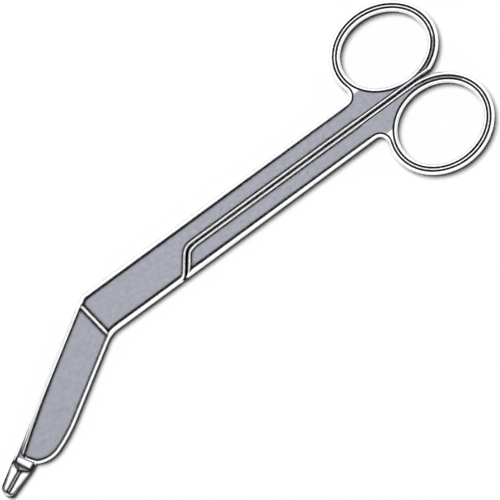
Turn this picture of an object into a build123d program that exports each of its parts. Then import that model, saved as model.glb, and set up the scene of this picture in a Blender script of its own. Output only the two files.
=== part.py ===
from build123d import *
import os
from math import asin, atan, atan2, cos, degrees, hypot, radians, sin, sqrt, tan

# Angled bandage scissors, closed and lying flat. Millimetres and degrees.
# The origin is on the pivot's axis in the plane that the scissors lie on. +X runs along the seam between
# the two shanks towards the rings, +Y towards the shank of the upper half, and +Z up.

# The two handles, which are alike and lap each other at half their thickness
handle_thickness = 4.4
ride_gap = 0.04  # between the flat faces that slide on each other
seam_gap = 0.3  # between the two shanks when closed
shoulder_gap = 0.45  # between a lap plate's end and the shoulder that it stops against
joint_width = 14.5
root_width = 13.7  # across both shanks where the rings begin
root_distance = 78.0  # from the pivot to where the rings begin
joint_edge_share = 0.96  # of a lap plate's thickness, for the rounding of its sides
seam_edge_radius = 1.2
ring_edge_radius = 1.5
ring_under_bevel = 0.9  # on the side that lies down

# The slanted shoulder, where a lap plate ends against the other half's shank
shoulder_distance = 17.6  # from the pivot, along the seam
shoulder_angle = 52.5
shoulder_inner_radius = 4.0
shoulder_outer_radius = 3.0
shoulder_corner = 6.4  # from the seam to the bend near the side
shoulder_tail_angle = 16.0
shoulder_to_taper = 0.4  # of parallel shank before its taper begins

# The finger rings: each hole is an oval, and the rim goes round it
rim_width = 3.35
root_fillet = 2.2
upper_ring_x = 98.4
upper_ring_y = 12.8
upper_ring_tilt = -8.0
upper_hole_length = 26.6
upper_hole_width = 21.0
probe_ring_x = 99.1
probe_ring_y = 14.35
probe_ring_tilt = 0.0
probe_hole_length = 26.6
probe_hole_width = 22.0

# The bend at the knee. A blade's own measures run along it from the knee, and across it towards the
# bend's outer side
knee_distance = 17.2  # from the pivot
bend_angle = 31.6
knee_outer_radius = 2.5
ramp_drop = 0.7  # from the lap plate's face down to the blade's
ramp_run = 1.15
ramp_overlap = 1.75  # of the blade into the lap plate, behind the ramp's foot
spine_share = 0.8  # of the blade's thickness, for the rounding of the spine
bevel_width = 1.1
bevel_land = 0.06  # left upright under the bevel

# The short blade of the upper half: the spine is on the inner side of the bend
upper_length = 45.5
upper_spine = 7.3
upper_cutting = 5.25
upper_cutting_straight = 14.0
upper_cutting_tip = 4.2
upper_knee_radius = 9.0
upper_ramp_position = -1.3
upper_ramp_tilt = 24.0
belly_back = 16.5  # from the nose to where the spine begins to curve in
belly_middle_back = 6.5
belly_middle_across = 6.2
nose_belly_back = 0.2
nose_belly_across = 1.4
nose_cutting_back = 1.3
nose_cutting_across = 1.8

# The long blade of the probe half: the cutting edge is on the inner side of the bend
probe_spine = 5.2
probe_spine_neck = 5.5
probe_cutting = 5.6
probe_cutting_neck = 1.05
probe_knee_radius = 4.0
probe_spine_share = 0.64  # of the blade's thickness, for the spine's rounding on the sliding face
probe_back_share = 0.3  # and for its rounding on the other face
probe_ramp_position = 6.5
probe_ramp_tilt = 12.0

# The blunt probe at the long blade's end, with a crown that stands up behind the short blade's nose
neck_distance = 47.3
probe_length = 10.15
probe_side_angle = 13.6
probe_outer_radius = 2.8
probe_inner_radius = 1.4
probe_edge_radius = 1.2
crown_height = 1.9
crown_inset = 0.1
crown_nose_radius = 2.0
crown_side_slope = 29.0
crown_ridge_radius = 1.2
crown_collar_slope = 50.0
crown_root = 0.2  # sunk in the blade below it

# The pivot screw: its head is countersunk in the lower plate and its end is flush with the upper face
screw_radius = 2.2
screw_clearance = 0.05
screw_head_radius = 3.9
screw_head_rim = 0.25
screw_head_height = 1.35
screw_head_recess = 0.05
screw_slot_width = 1.1
screw_slot_depth = 0.75

middle = handle_thickness / 2
half_joint = joint_width / 2
half_seam = seam_gap / 2
near = 0.01  # within which two measured places are the same
layer_floor = middle + ride_gap / 2
joint_edge_radius = joint_edge_share * (handle_thickness - layer_floor)
blade_top = handle_thickness - ramp_drop
blade_thickness = blade_top - layer_floor
ramp_slope = degrees(atan(ramp_drop / ramp_run))
shoulder_round = shoulder_inner_radius * tan(radians(shoulder_angle / 2))
taper_start = shoulder_distance + shoulder_round + shoulder_to_taper
probe_spine_slope = (probe_spine_neck - probe_spine) / neck_distance
probe_cutting_slope = (probe_cutting - probe_cutting_neck) / neck_distance
span = 2 * (root_distance + upper_hole_length)  # wider than the whole piece
tail_drop = joint_width  # from the shoulder's outer bend to well past the plate's side


def blade_point(along, across):
    """The plan position of a point of a blade."""
    c, s = cos(radians(bend_angle)), sin(radians(bend_angle))
    return (-knee_distance - along * c - across * s, -along * s + across * c)


def knee_corner(side, across, slope):
    """Where a lap plate's side meets the line of a blade's side."""
    c, s = cos(radians(bend_angle)), sin(radians(bend_angle))
    along = (across * c - side) / (s - slope * c)
    return blade_point(along, across + slope * along)


def raised(face, low, high):
    """A plan face made solid between two heights."""
    return extrude(Pos(0, 0, low) * face, high - low, dir=(0, 0, 1))


def edges_at(body, height, wanted):
    """The level edges at one height whose middles are wanted."""
    level = body.edges().filter_by_position(Axis.Z, height, height)
    return level.filter_by(lambda edge: wanted(edge.center()))


def half_space(point, height, direction, slope):
    """Everything over a plane that falls by a slope towards a plan direction."""
    out = Vector(cos(radians(direction)), sin(radians(direction)), 0)
    up = out * sin(radians(slope)) + Vector(0, 0, cos(radians(slope)))
    level = Vector(-out.Y, out.X, 0)
    plane = Plane(origin=(point[0], point[1], height), x_dir=level, z_dir=up)
    return plane * Box(span, span, span, align=(Align.CENTER, Align.CENTER, Align.MIN))


def ramp_foot(ramp_position, ramp_tilt):
    """The plan direction of a ramp's fall, and a point on its lower edge."""
    fall = 180 + bend_angle - ramp_tilt
    x, y = blade_point(ramp_position, 0)
    return fall, (x + ramp_run * cos(radians(fall)), y + ramp_run * sin(radians(fall)))


def joint_side():
    """The plan face on the pivot's side of the shoulder and of the seam, for the upper half."""
    corner_x = shoulder_distance - (shoulder_corner + half_seam) / tan(radians(shoulder_angle))
    tail_x = corner_x - tail_drop / tan(radians(shoulder_tail_angle))
    edge = FilletPolyline(
        (span, half_seam),
        (shoulder_distance, half_seam),
        (corner_x, -shoulder_corner),
        (tail_x, -shoulder_corner - tail_drop),
        radius=[shoulder_inner_radius, shoulder_outer_radius],
    )
    rest = Polyline(
        (tail_x, -shoulder_corner - tail_drop),
        (-span, -shoulder_corner - tail_drop),
        (-span, span),
        (span, span),
        (span, half_seam),
    )
    return make_face(edge.edges() + rest.edges())


def on_shoulder(place):
    """Whether an edge's middle is on the shoulder or the seam, not on the joint side's far edges."""
    return abs(place.Y) < joint_width


def joint_block(side):
    """The block over a plan face of the joint, with its upper edges at the shoulder and the seam rounded."""
    block = raised(side, 0, handle_thickness)
    return fillet(edges_at(block, handle_thickness, on_shoulder), seam_edge_radius)


def section_at(x, corners, radii):
    """A face across the seam's direction, with its corners rounded."""
    outline = FilletPolyline(*corners, close=True, radius=radii)
    return Plane(origin=(x, 0, 0), x_dir=(0, 1, 0), z_dir=(1, 0, 0)) * make_face(outline.edges())


def shank():
    """The tapered shank, from the joint to the ring's root: flat at the seam and rounded outside."""
    top = handle_thickness
    seam_side = [(half_seam, top), (half_seam, 0)]
    joint_corners = [(half_joint, 0), (half_joint, top)] + seam_side
    joint_radii = [joint_edge_radius, joint_edge_radius, seam_edge_radius, seam_edge_radius]
    half_root = root_width / 2
    under_bevel = [(half_root - ring_under_bevel, 0), (half_root, ring_under_bevel)]
    root_corners = under_bevel + [(half_root, top)] + seam_side
    root_radii = [0, 0, ring_edge_radius, seam_edge_radius, seam_edge_radius]
    joint_end = section_at(taper_start, joint_corners, joint_radii)
    root_end = section_at(root_distance, root_corners, root_radii)
    return loft([joint_end, root_end], ruled=True)


def past_root(place):
    """Whether an edge's middle lies past the start of a ring's root."""
    return place.X > root_distance + near


def ring(x, y, tilt, length, width):
    """A finger ring and the flat root that joins it to its shank, cut flat along the seam."""
    place = Pos(x, y) * Rot(0, 0, tilt)
    past_seam = rim_width + ring_edge_radius
    root = Pos(root_distance, -past_seam) * Rectangle(
        x - root_distance, root_width / 2 + past_seam, align=(Align.MIN, Align.MIN)
    )
    plan = place * Ellipse(length / 2 + rim_width, width / 2 + rim_width) + root
    crook = plan.vertices().filter_by(
        lambda v: abs(v.Y - root_width / 2) < near and v.X > root_distance + near
    )
    plan = fillet(crook, root_fillet)
    hidden = plan.vertices().filter_by(lambda v: abs(v.X - x) < near and v.Y < half_joint)
    plan = fillet(hidden, ring_edge_radius + half_seam) - place * Ellipse(length / 2, width / 2)
    body = raised(plan, 0, handle_thickness)
    body = fillet(edges_at(body, handle_thickness, past_root), ring_edge_radius)
    body = chamfer(edges_at(body, 0, past_root), ring_under_bevel)
    corners = [(span, 0), (span, handle_thickness), (half_seam, handle_thickness), (half_seam, 0)]
    rounded = section_at(root_distance, corners, [0, 0, seam_edge_radius, seam_edge_radius])
    square = extrude(section_at(root_distance, corners, [0, 0, 0, 0]), span, dir=(1, 0, 0))
    return (body & square) - (square - extrude(rounded, span, dir=(1, 0, 0)))


def shoulder():
    """The full-thickness start of the shank, which the other half's lap plate ends against."""
    other_plate = offset(mirror(joint_side(), about=Plane.XZ), shoulder_gap)
    room = Pos(taper_start, 0) * Rectangle(span, span, align=(Align.MAX, Align.MIN)) - other_plate
    block = raised(room, 0, layer_floor)
    under = edges_at(block, 0, lambda p: on_shoulder(p) and p.X < taper_start - half_seam)
    block = fillet(under, seam_edge_radius)
    top = handle_thickness
    corners = [(-half_joint, top), (-half_joint, 0), (half_joint, 0), (half_joint, top)]
    sides = section_at(taper_start, corners, [0, joint_edge_radius, joint_edge_radius, 0])
    return block & extrude(sides, -taper_start, dir=(1, 0, 0))


def grip(x, y, tilt, length, width):
    """A shank and its finger ring, with the ring's rounded face up."""
    return shank() + ring(x, y, tilt, length, width)


def lap_plate(block, inner, inner_slope, outer, outer_slope, knee_radius, ramp_position, ramp_tilt):
    """A lap plate with its face up, down to the ramp where the face steps down to the blade's."""
    end = ramp_position + ramp_run + joint_width
    outline = FilletPolyline(
        (taper_start, -half_joint),
        knee_corner(-half_joint, inner, inner_slope),
        blade_point(end, inner + inner_slope * end),
        blade_point(end, outer + outer_slope * end),
        knee_corner(half_joint, outer, outer_slope),
        (taper_start, half_joint),
        close=True,
        radius=[0, knee_radius, 0, 0, knee_outer_radius, 0],
    )
    body = raised(make_face(outline.edges()), layer_floor, handle_thickness)
    tip = Vector(*blade_point(end, (inner + inner_slope * end + outer + outer_slope * end) / 2))
    side_edges = edges_at(
        body,
        handle_thickness,
        lambda p: p.X < taper_start - half_seam and hypot(p.X - tip.X, p.Y - tip.Y) > half_seam,
    )
    body = fillet(side_edges, joint_edge_radius) & block
    fall, foot = ramp_foot(ramp_position, ramp_tilt)
    return body - half_space(foot, blade_top, fall, ramp_slope)


def from_ramp(blade, ramp_position, ramp_tilt):
    """A blade that reaches no farther than the overlap behind its ramp's foot."""
    fall, start = ramp_foot(ramp_position - ramp_overlap, ramp_tilt)
    return blade - half_space(start, 0, fall + 180, 90)


def edges_over(blade, plan_edges, height):
    """The edges of a blade at one height that lie over some edges of its plan."""
    middles = [edge @ 0.5 for edge in plan_edges]

    def over(place):
        return any(hypot(place.X - m.X, place.Y - m.Y) < near for m in middles)

    level = blade.edges().filter_by_position(Axis.Z, height, height)
    return level.filter_by(lambda edge: over(edge @ 0.5))


def bevelled(blade, plan_edges):
    """A blade with the bevel ground along its cutting edge."""
    face = blade.faces().sort_by(Axis.Z)[-1]
    depth = blade_thickness - bevel_land
    return chamfer(edges_over(blade, plan_edges, blade_top), bevel_width, depth, reference=face)


def upper_blade():
    """The short blade: a rounded spine that curves round to the nose, and a bevelled cutting edge."""
    along = Vector(*blade_point(1, 0)) - Vector(*blade_point(0, 0))
    spine_start = blade_point(upper_length - belly_back, -upper_spine)
    belly = blade_point(upper_length - belly_middle_back, -belly_middle_across)
    nose = blade_point(upper_length - nose_belly_back, -nose_belly_across)
    knee = FilletPolyline(
        (0, -half_joint),
        knee_corner(-half_joint, -upper_spine, 0),
        spine_start,
        radius=[upper_knee_radius],
    )
    first_belly = TangentArc(spine_start, belly, tangent=along)
    second_belly = TangentArc(belly, nose, tangent=first_belly % 1)
    cutting_tip = blade_point(upper_length - nose_cutting_back, upper_cutting_tip)
    end = Polyline(nose, blade_point(upper_length, nose_cutting_across), cutting_tip)
    cutting_middle = blade_point(upper_cutting_straight, upper_cutting)
    cutting_heel = blade_point(-knee_distance, upper_cutting)
    curved = TangentArc(cutting_middle, cutting_tip, tangent=along)
    straight = Line(cutting_middle, cutting_heel)
    back = Line(cutting_heel, (0, -half_joint))
    spine = knee.edges() + first_belly.edges() + second_belly.edges()
    cutting = curved.edges() + straight.edges()
    blade = raised(make_face(spine + end.edges() + cutting + back.edges()), layer_floor, blade_top)
    rounded = edges_over(bevelled(blade, cutting), spine + end.edges()[:1], blade_top)
    blade = fillet(rounded, spine_share * blade_thickness)
    return from_ramp(blade, upper_ramp_position, upper_ramp_tilt)


def probe_blade():
    """The long blade to its neck, face up: a straight spine, and a bevelled cutting edge."""
    back = -knee_distance
    spine = Line(
        blade_point(back, probe_spine + probe_spine_slope * back),
        blade_point(neck_distance, probe_spine_neck),
    )
    knee = FilletPolyline(
        (0, -half_joint),
        knee_corner(-half_joint, -probe_cutting, probe_cutting_slope),
        blade_point(neck_distance, -probe_cutting_neck),
        radius=[probe_knee_radius],
    )
    ends = Line(spine @ 1, knee @ 1).edges() + Line(spine @ 0, knee @ 0).edges()
    blade = raised(make_face(spine.edges() + knee.edges() + ends), layer_floor, blade_top)
    blade = bevelled(blade, knee.edges())
    blade = fillet(edges_over(blade, spine.edges(), blade_top), probe_back_share * blade_thickness)
    blade = fillet(edges_over(blade, spine.edges(), layer_floor), probe_spine_share * blade_thickness)
    return from_ramp(blade, probe_ramp_position, probe_ramp_tilt)


def probe_plate():
    """The flat of the probe, face up: a blunt wedge that carries the long blade on."""
    end = neck_distance + probe_length
    narrowed = probe_length * tan(radians(probe_side_angle)) - probe_cutting_neck
    outline = FilletPolyline(
        blade_point(neck_distance, -probe_cutting_neck),
        blade_point(neck_distance, probe_spine_neck),
        blade_point(end, probe_spine_neck + probe_spine_slope * probe_length),
        blade_point(end, narrowed),
        close=True,
        radius=[0, 0, probe_outer_radius, probe_inner_radius],
    )
    plate = raised(make_face(outline.edges()), layer_floor, blade_top)
    neck = Vector(*blade_point(neck_distance, (probe_spine_neck - probe_cutting_neck) / 2))
    return fillet(
        edges_at(plate, blade_top, lambda p: hypot(p.X - neck.X, p.Y - neck.Y) > near), probe_edge_radius
    )


def crown():
    """The ridged crown of the probe, as it stands on the long blade's sliding face."""
    base_radius = (probe_spine_neck + probe_cutting_neck) / 2 - crown_inset
    length = probe_length - 2 * crown_inset
    nose_centre = length - crown_nose_radius
    reach = hypot(nose_centre, base_radius)
    slope = asin(crown_nose_radius / reach) - atan2(base_radius, nose_centre)
    side_length = sqrt(reach**2 - crown_nose_radius**2)
    side_end = (side_length * cos(slope), base_radius + side_length * sin(slope))
    side = Polyline((0, 0), (0, base_radius), side_end)
    nose = TangentArc(side_end, (length, 0), tangent=(cos(slope), sin(slope)))
    profile = make_face(side.edges() + nose.edges() + Line((length, 0), (0, 0)).edges())
    fall = span * tan(radians(crown_side_slope))
    roof = FilletPolyline(
        (-span, crown_height - fall),
        (0, crown_height),
        (span, crown_height - fall),
        (0, crown_height - 2 * fall),
        close=True,
        radius=[0, crown_ridge_radius, 0, 0],
    )
    gable = Plane.YZ * make_face(roof.edges())
    ridged = revolve(profile, Axis.X) & extrude(gable, length, dir=(1, 0, 0))
    ridged &= Pos(0, 0, -crown_root) * Box(span, span, span, align=(Align.CENTER, Align.CENTER, Align.MIN))
    ridged -= half_space((0, 0), -crown_root / 2, 180, crown_collar_slope)
    x, y = blade_point(neck_distance + crown_inset, (probe_spine_neck - probe_cutting_neck) / 2)
    turn = 180 + bend_angle - probe_side_angle / 2
    return Pos(x, y, handle_thickness - layer_floor) * Rot(0, 0, turn) * ridged


def upper_half():
    """The upper layer: the short blade, its lap plate, its shank on the +Y side and its ring."""
    plate = lap_plate(
        joint_block(joint_side()),
        -upper_spine,
        0,
        upper_cutting,
        0,
        upper_knee_radius,
        upper_ramp_position,
        upper_ramp_tilt,
    )
    held = grip(upper_ring_x, upper_ring_y, upper_ring_tilt, upper_hole_length, upper_hole_width)
    return plate + upper_blade() + shoulder() + held - screw_body(0, 0)


def probe_half():
    """The lower layer: the long blade with its probe, its lap plate, its shank and its ring."""
    plate = lap_plate(
        joint_block(mirror(joint_side(), about=Plane.XZ)),
        -probe_cutting,
        probe_cutting_slope,
        probe_spine,
        probe_spine_slope,
        probe_knee_radius,
        probe_ramp_position,
        probe_ramp_tilt,
    )
    face_up = plate + probe_blade() + probe_plate()
    front = mirror(face_up, about=Plane.XY.offset(middle)) + crown()
    held = grip(probe_ring_x, probe_ring_y, probe_ring_tilt, probe_hole_length, probe_hole_width)
    body = mirror(shoulder(), about=Plane.XY.offset(middle)) + held
    return mirror(body, about=Plane.XZ) + front - screw_body(screw_clearance, 0)


def screw_body(gap, low):
    """The pivot screw without its slot, widened by a gap, from a height up to the upper face."""
    rim_top = screw_head_recess + screw_head_rim
    profile = Polyline(
        (0, low),
        (screw_head_radius + gap, low),
        (screw_head_radius + gap, rim_top),
        (screw_radius + gap, screw_head_height),
        (screw_radius + gap, handle_thickness),
        (0, handle_thickness),
        close=True,
    )
    return revolve(Plane.XZ * make_face(profile.edges()), Axis.Z)


def pivot_screw():
    """The pivot screw, with a slot across its countersunk head."""
    standing = (Align.CENTER, Align.CENTER, Align.MIN)
    slot = Box(2 * screw_head_radius, screw_slot_width, screw_slot_depth, align=standing)
    return screw_body(0, screw_head_recess) - Pos(0, 0, screw_head_recess) * slot


os.makedirs("parts", exist_ok=True)
pieces = {"upper_half": upper_half(), "probe_half": probe_half(), "pivot_screw": pivot_screw()}
for name, shape in pieces.items():
    print(name, round(shape.volume, 1), shape.is_valid, len(shape.solids()))
    export_step(shape, f"parts/{name}.step")
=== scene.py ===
import math

import bpy
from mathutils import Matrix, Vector

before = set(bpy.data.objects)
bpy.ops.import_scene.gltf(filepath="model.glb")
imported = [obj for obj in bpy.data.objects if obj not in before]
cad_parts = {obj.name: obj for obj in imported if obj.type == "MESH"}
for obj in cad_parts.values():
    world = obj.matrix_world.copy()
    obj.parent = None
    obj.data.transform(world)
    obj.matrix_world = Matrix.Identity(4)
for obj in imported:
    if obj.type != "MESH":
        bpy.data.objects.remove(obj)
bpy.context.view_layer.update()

# Bandage scissors, closed and lying flat on a white table, seen from straight above. Everything is stainless
# steel: two forged halves that lap each other, and the pivot screw whose head is under the lower half.


# Upper half: forged in one piece, from the short blade through the lap plate to its finger ring. Its flat faces
# are satin from a fine belt, and its rounded edges and its ring's rim are polished on a wheel. Narrow corners
# and creases have shade painted dark on them.


class Socket:
    """A shader value that Python's own signs work on."""

    def __init__(self, tree, link=None):
        self.tree = tree
        self.link = link

    def node(self, kind, settings=(), out=0, **inputs):
        """Makes a node, fills in its sockets by name or by i and their number, and gives back one output."""
        made = self.tree.nodes.new(kind)
        for name, value in dict(settings).items():
            if name == "stops":
                steps = made.color_ramp.elements
                while len(steps) < len(value):
                    steps.new(1.0)
                for step, (place, colour) in zip(steps, value):
                    step.position = place
                    step.color = (*colour, 1.0)
            else:
                setattr(made, name, value)
        for name, value in inputs.items():
            numbered = name[0] == "i" and name[1:].isdigit()
            socket = made.inputs[int(name[1:]) if numbered else name.replace("_", " ")]
            if isinstance(value, Socket):
                self.tree.links.new(value.link, socket)
            else:
                socket.default_value = value
        return Socket(self.tree, made.outputs[out] if made.outputs else None)

    def maths(self, operation, *others):
        values = {f"i{place}": value for place, value in enumerate((self, *others))}
        return self.node("ShaderNodeMath", {"operation": operation}, **values)

    def __add__(self, other):
        return self.maths("ADD", other)

    __radd__ = __add__

    def __mul__(self, other):
        return self.maths("MULTIPLY", other)

    __rmul__ = __mul__

    def __sub__(self, other):
        return self.maths("SUBTRACT", other)

    def __rsub__(self, other):
        return -1.0 * self + other

    def part(self, axis):
        """One of the three numbers of a place or direction."""
        return self.node("ShaderNodeSeparateXYZ", out="xyz".index(axis), i0=self)

    def dot(self, way):
        """How far a place lies in a direction, or how nearly two directions agree."""
        return self.node("ShaderNodeVectorMath", {"operation": "DOT_PRODUCT"}, 1, i0=self, i1=way)

    def ramp(self, low, high):
        """0 below low, 1 above high, and smooth between."""
        smooth = {"interpolation_type": "SMOOTHSTEP"}
        return self.node("ShaderNodeMapRange", smooth, i0=self, i1=low, i2=high, i3=0.0, i4=1.0)

    def between(self, rise, fall):
        """1 from rise to fall, each a pair that it fades over, and 0 beyond them."""
        return self.ramp(*rise) * (1.0 - self.ramp(*fall))

    def mix(self, low, high):
        """From one number to another as this value goes from 0 to 1."""
        return self.node("ShaderNodeMix", {"data_type": "FLOAT"}, 0, i0=self, i2=low, i3=high)

    def mix_three(self, low, high):
        """The same for tones and directions, which have three numbers."""
        return self.node("ShaderNodeMix", {"data_type": "VECTOR"}, 1, i0=self, i4=low, i5=high)


satin_tone = (0.556, 0.566, 0.634)
polished_tone = (0.89, 0.89, 0.90)
# Near black, painted as shade along creases and in the gap at the shoulder
painted_shade_tone = (0.02, 0.02, 0.023)
satin_roughness = 0.26
polished_roughness = 0.06
satin_level = (0.9955, 0.9992)  # how level a face is where the satin begins, and where it is whole
corner_turn = (0.003, 0.016)  # how far a rounded corner turns away where its painted shade begins, and where it is whole

# Metres over which the wheel has rounded the corners. Steel that was ground thinner has given way more
edge_softness = 0.0016
rim_softness = 0.0004
blade_softness = 0.0017
corner_samples = 12

# Distances from the pivot in metres, each a pair between which one finish gives way to the next
screw_end = (0.0039, 0.0041)
ring_start = (0.078, 0.082)  # along the shanks
rim_side = (0.0072, 0.0080)  # across them, beyond which a ring's rim is polished all over
shank_start = (-0.0145, -0.0135)  # along the shanks, where they are thick
grain_turn = (-0.0170, -0.0160)  # along the shanks, where the blade turns off from the lap plate
nose_end = (0.0601, 0.0603)  # along the blades, where the probe begins
bend_angle = 31.6

# Where shade is painted dark, along the cutting bevel and in the gap at the shoulder. The bevel is measured
# across the blades, and the gap squarely to its shoulder
bevel_foot = ((0.0114, 0.0115), (0.0132, 0.0133))
shoulder_angle = 52.5
shoulder_gap = ((0.01345, 0.01355), (0.0145, 0.0146))
gap_heights = ((0.0019, 0.0020), (0.0033, 0.0036))
gap_side = (0.0, 0.0003)  # where the gap ends at the seam

# The belt's grain and the steel's mottle. Noise has its middle at 0.5, so the three shares make about 1
grain_scale = 7000.0
grain_stretch = 0.05
grain_detail = 3.0
grain_roughness = 0.6
grain_strength = 0.1
grain_depth = 0.00001
mottle_scale = 700.0
mottle_detail = 4.0
mottle_roughness = 0.65
even_share = 0.50
mottle_share = 0.62
grain_share = 0.38
roughness_share = 0.05


def level_way(angle):
    """The level direction that is turned by an angle from the one towards the rings."""
    return (math.cos(math.radians(angle)), math.sin(math.radians(angle)), 0)


def belt_grain(place, angle):
    """Fine scratches that run in one level direction."""
    brushed = place.node(
        "ShaderNodeMapping", Vector=place, Rotation=(0, 0, -math.radians(angle)), Scale=(grain_stretch, 1.0, 1.0)
    )
    return place.node(
        "ShaderNodeTexNoise", Vector=brushed, Scale=grain_scale, Detail=grain_detail, Roughness=grain_roughness
    )


def steel(name, node):
    """Satin on the level faces, polished on the roundings, with shade painted dark along creases and in the
    shoulder gap.
    """
    made = bpy.data.materials.new(name)
    made.use_nodes = True
    tree = made.node_tree
    tree.nodes.clear()
    start = Socket(tree)

    place = start.node("ShaderNodeTexCoord", out=3)
    along = place.part("x")
    level_place = start.node("ShaderNodeVectorMath", {"operation": "MULTIPLY"}, i0=place, i1=(1, 1, 0))
    from_pivot = start.node("ShaderNodeVectorMath", {"operation": "LENGTH"}, 1, i0=level_place)
    across_blade = place.dot(level_way(bend_angle + 90))
    on_ring = along.ramp(*ring_start)
    on_shank = along.ramp(*shank_start)
    on_probe = place.dot(level_way(bend_angle + 180)).ramp(*nose_end)

    plain = start.node("ShaderNodeNewGeometry", out=1)
    soft, crisp, broad = (
        start.node("ShaderNodeBevel", {"samples": corner_samples}, Radius=softness)
        for softness in (edge_softness, rim_softness, blade_softness)
    )
    rounded = on_shank.mix_three(on_probe.mix_three(broad, soft), on_ring.mix_three(soft, crisp))
    worn = from_pivot.ramp(*screw_end).mix_three(plain, rounded)
    own_way = {"vector_type": "NORMAL", "convert_from": "WORLD", "convert_to": "OBJECT"}
    level = start.node("ShaderNodeVectorTransform", own_way, i0=worn).part("z").maths("ABSOLUTE")
    on_rim = on_ring * place.part("y").maths("ABSOLUTE").ramp(*rim_side)
    flat = level.ramp(*satin_level) * (1.0 - on_rim.maths("MAXIMUM", on_probe))

    # Painted shade: dark lines where the softened normal turns away from the plain one, at the cutting bevel and
    # on the probe
    at_bevel = across_blade.between(*bevel_foot) * (1.0 - on_shank)
    painted_crease_shade = on_probe.maths("MAXIMUM", at_bevel) * (1.0 - plain.dot(worn)).ramp(*corner_turn)
    # Painted shade in the narrow gap along the shoulder, where the two halves meet
    painted_gap_shade = place.dot(level_way(shoulder_angle - 90)).between(*shoulder_gap)
    painted_gap_shade = painted_gap_shade * place.part("z").between(*gap_heights) * (1.0 - place.part("y").ramp(*gap_side))
    clear_of_painted_shade = (1.0 - painted_crease_shade) * (1.0 - painted_gap_shade)

    grain = along.ramp(*grain_turn).mix(belt_grain(place, bend_angle), belt_grain(place, 0))
    mottle = start.node(
        "ShaderNodeTexNoise", Vector=place, Scale=mottle_scale, Detail=mottle_detail, Roughness=mottle_roughness
    )
    # Where either mask of painted shade is whole, the near-black painted shade replaces the finish's tone
    tone = clear_of_painted_shade.mix_three(painted_shade_tone, flat.mix_three(polished_tone, satin_tone))
    shade = even_share + mottle_share * mottle + grain_share * grain
    shaded = start.node("ShaderNodeVectorMath", {"operation": "SCALE"}, i0=tone, Scale=shade)
    roughness = flat.mix(polished_roughness, satin_roughness) + roughness_share * (mottle - 0.5)
    scratched = start.node(
        "ShaderNodeBump", Strength=grain_strength, Distance=grain_depth, Height=grain * flat, Normal=worn
    )
    shader = start.node(
        "ShaderNodeBsdfPrincipled", Base_Color=shaded, Metallic=1.0, Roughness=roughness, Normal=scratched
    )
    start.node("ShaderNodeOutputMaterial", i0=shader)
    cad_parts[node].material_slots[0].material = made


steel("upper_half_steel", "upper_half")


# Probe half: forged from the same steel, from the blunt probe and the long blade through the lower lap plate to
# its own ring. It lies under the upper half at the joint, and is finished like it.
steel("probe_half_steel", "probe_half")


# Pivot screw: turned from the same steel. Its head is countersunk in the lower lap plate's underside, and its
# end is ground flush with the upper lap plate.
steel("pivot_screw_steel", "pivot_screw")


# Table: a plain matt surface that reaches well past the picture's edges. It is pale grey, and the lamp's
# strength makes it white.
table_size = 3.0
table_tone = 0.12
bpy.ops.object.select_all(action="DESELECT")
bpy.ops.mesh.primitive_plane_add(size=table_size, location=(0, 0, 0))
table = bpy.context.object
table.name = "table"
table_paper = bpy.data.materials.new("table_paper")
table_paper.use_nodes = True
table_shader = table_paper.node_tree.nodes["Principled BSDF"]
table_shader.inputs["Base Color"].default_value = (table_tone, table_tone, table_tone, 1)
table_shader.inputs["Roughness"].default_value = 1.0
table_shader.inputs["Specular IOR Level"].default_value = 0.0
table.data.materials.append(table_paper)


# Light: a white tent all round, open in a dark ring round a small white panel straight above, and a broad
# lamp from the upper left for the shadow.
def cone(angle):
    """The height of a direction that is this far from straight up."""
    return math.cos(math.radians(angle))


panel_tone = (1.30, 1.30, 1.32)
opening_tone = (0.012, 0.012, 0.014)
tent_tone = (1.3, 1.3, 1.3)
panel_end = (7.5, 9.0)  # degrees from straight up, over which the panel gives way to the opening
tent_start = (49, 52)  # and the opening to the tent
world = bpy.data.worlds.new("light_tent")
bpy.context.scene.world = world
world.use_nodes = True
world.node_tree.nodes.clear()
sky = Socket(world.node_tree)
height = sky.node("ShaderNodeTexCoord", out=0).part("z")
bands = [
    (0.0, tent_tone),
    (cone(tent_start[1]), tent_tone),
    (cone(tent_start[0]), opening_tone),
    (cone(panel_end[1]), opening_tone),
    (cone(panel_end[0]), panel_tone),
]
profile = sky.node("ShaderNodeValToRGB", {"stops": bands}, Fac=height)
sky.node("ShaderNodeOutputWorld", i0=sky.node("ShaderNodeBackground", Color=profile, Strength=1.0))

lamp_strength = 26.5
lamp_width = 27  # degrees, as for its other angles
lamp_zenith = 22.0
lamp_turn = 100.0
lamp = bpy.data.lights.new("broad_lamp", "SUN")
lamp.energy = lamp_strength
lamp.angle = math.radians(lamp_width)
lamp_object = bpy.data.objects.new("broad_lamp", lamp)
bpy.context.scene.collection.objects.link(lamp_object)
lean = math.sin(math.radians(lamp_zenith))
turn = math.radians(lamp_turn)
towards = Vector((lean * math.cos(turn), lean * math.sin(turn), cone(lamp_zenith)))
lamp_object.rotation_euler = towards.to_track_quat("Z", "Y").to_euler()
lamp_object.visible_glossy = False


# Camera: straight above, turned so that the shanks point up to the right, and far off behind a long lens.
view_centre = (0.03227, -0.01136)
view_turn = 36.26
view_width = 0.14605
lens = 400.0
sensor = 36.0
far_limit = 20.0
top_of_steel = 0.0044
camera = bpy.data.cameras.new("camera")
camera.lens = lens
camera.sensor_width = sensor
camera.clip_end = far_limit
camera_object = bpy.data.objects.new("camera", camera)
bpy.context.scene.collection.objects.link(camera_object)
camera_object.location = (*view_centre, top_of_steel + view_width * lens / sensor)
camera_object.rotation_euler = (0, 0, -math.radians(view_turn))
bpy.context.scene.camera = camera_object
bpy.context.scene.view_settings.view_transform = "Standard"
